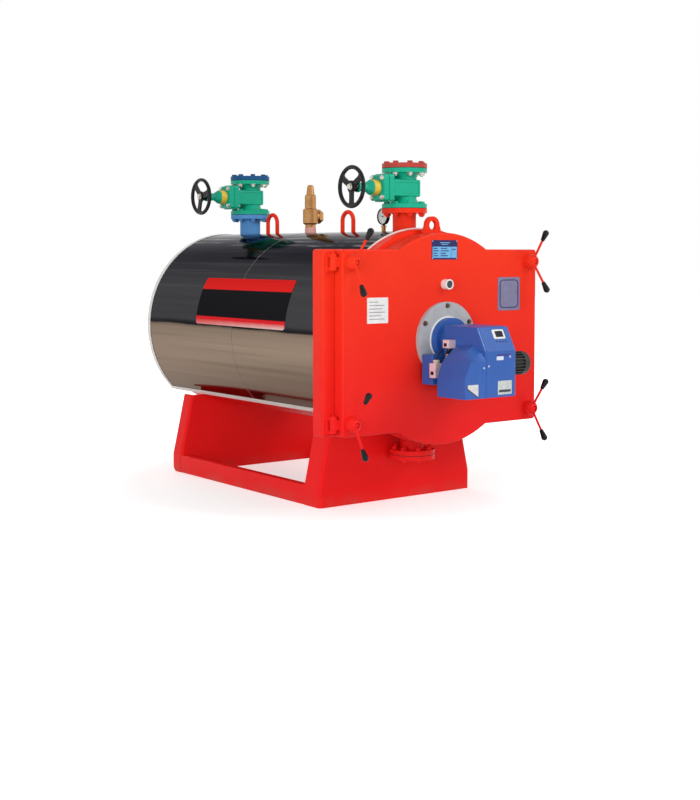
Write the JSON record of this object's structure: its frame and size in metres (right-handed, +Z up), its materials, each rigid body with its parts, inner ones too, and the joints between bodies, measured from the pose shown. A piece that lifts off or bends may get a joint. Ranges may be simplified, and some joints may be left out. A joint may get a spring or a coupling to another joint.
{
  "type": "industrial boiler",
  "caption": "Horizontal fire-tube hot-water boiler on a welded pedestal, polished cladding, hinged front door with clamps and gas burner, gate valves, safety valve and gauge on top.",
  "frame": {"origin": "on the floor, under the middle of the pedestal's front web", "axes": "+X to the right seen from the front, +Y from the front to the back along the shell, +Z up"},
  "size_m": [1.266, 2.451, 1.655],
  "materials": {
    "red_paint": "semi-gloss",
    "boiler_steel": "sooty mill scale",
    "mineral_wool": "fibrous",
    "polished_sheet": "mirror polished",
    "trim": "satin",
    "green_paint": "gloss",
    "blue_paint": "semi-gloss",
    "gasket": "matte",
    "brass": "satin",
    "gauge_black": "gloss",
    "refractory": "cast, matte",
    "grey_plate": "satin",
    "burner_blue": "semi-gloss",
    "motor_black": "satin",
    "fitting_white": "satin",
    "grip_black": "semi-gloss",
    "wheel_black": "gloss paint"
  },
  "bodies": {
    "boiler": {"pedestal_front": "red_paint", "pedestal_rear": "red_paint", "pedestal_rail_left": "red_paint", "pedestal_rail_right": "red_paint", "shell": "red_paint", "front_tube_plate": "boiler_steel", "rear_tube_plate": "boiler_steel", "furnace": "boiler_steel", "smoke_tubes": "boiler_steel", "insulation": "mineral_wool", "cladding": "polished_sheet", "cladding_end_rings": "trim", "cladding_edge_strips": "trim", "front_frame": "red_paint", "hinge_brackets": "red_paint", "supply_nozzle": "red_paint", "supply_valve_body": "green_paint", "supply_valve_bonnet": "green_paint", "supply_counter_flange": "red_paint", "return_nozzle": "blue_paint", "return_valve_body": "green_paint", "return_valve_bonnet": "green_paint", "return_counter_flange": "blue_paint", "flange_gaskets": "gasket", "drain_nozzle": "red_paint", "drain_cover": "red_paint", "safety_nipple": "red_paint", "safety_valve": "brass", "pressure_gauge": "gauge_black", "gauge_cock": "brass", "lifting_bail_middle": "red_paint", "lifting_bail_rear": "red_paint", "lifting_lug_front": "red_paint", "smoke_cover": "red_paint", "front_collar": "red_paint"},
    "door": {"door_plate": "red_paint", "door_lining": "refractory", "door_gasket": "gasket", "burner_plate": "grey_plate", "sight_tube": "grey_plate", "burner_neck": "burner_blue", "burner_housing": "burner_blue", "burner_hood": "burner_blue", "burner_motor": "motor_black", "burner_gas_box": "burner_blue", "burner_fittings": "fitting_white"},
    "clamp_upper_left": {"clamp_upper_left": "red_paint", "clamp_upper_left_grips": "grip_black"},
    "clamp_upper_right": {"clamp_upper_right": "red_paint", "clamp_upper_right_grips": "grip_black"},
    "clamp_lower_left": {"clamp_lower_left": "red_paint", "clamp_lower_left_grips": "grip_black"},
    "clamp_lower_right": {"clamp_lower_right": "red_paint", "clamp_lower_right_grips": "grip_black"},
    "supply_wheel": {"supply_handwheel": "wheel_black"},
    "return_wheel": {"return_handwheel": "wheel_black"}
  },
  "joints": [
    {"name": "door_swing", "type": "hinge", "parent": "boiler", "child": "door", "pos_m": [-0.626, -0.318, 0.808], "axis": [0, 0, -1], "range_deg": [0, 110]},
    {"name": "clamp_upper_left_turn", "type": "hinge", "parent": "door", "child": "clamp_upper_left", "pos_m": [-0.552, -0.354, 1.171], "axis": [0, 1, 0], "continuous": true},
    {"name": "clamp_upper_right_turn", "type": "hinge", "parent": "door", "child": "clamp_upper_right", "pos_m": [0.552, -0.354, 1.171], "axis": [0, 1, 0], "continuous": true},
    {"name": "clamp_lower_left_turn", "type": "hinge", "parent": "door", "child": "clamp_lower_left", "pos_m": [-0.552, -0.354, 0.445], "axis": [0, 1, 0], "continuous": true},
    {"name": "clamp_lower_right_turn", "type": "hinge", "parent": "door", "child": "clamp_lower_right", "pos_m": [0.552, -0.354, 0.445], "axis": [0, 1, 0], "continuous": true},
    {"name": "supply_wheel_turn", "type": "hinge", "parent": "boiler", "child": "supply_wheel", "pos_m": [-0.322, -0.053, 1.525], "axis": [1, 0, 0], "continuous": true},
    {"name": "return_wheel_turn", "type": "hinge", "parent": "boiler", "child": "return_wheel", "pos_m": [-0.322, 1.331, 1.525], "axis": [1, 0, 0], "continuous": true}
  ]
}
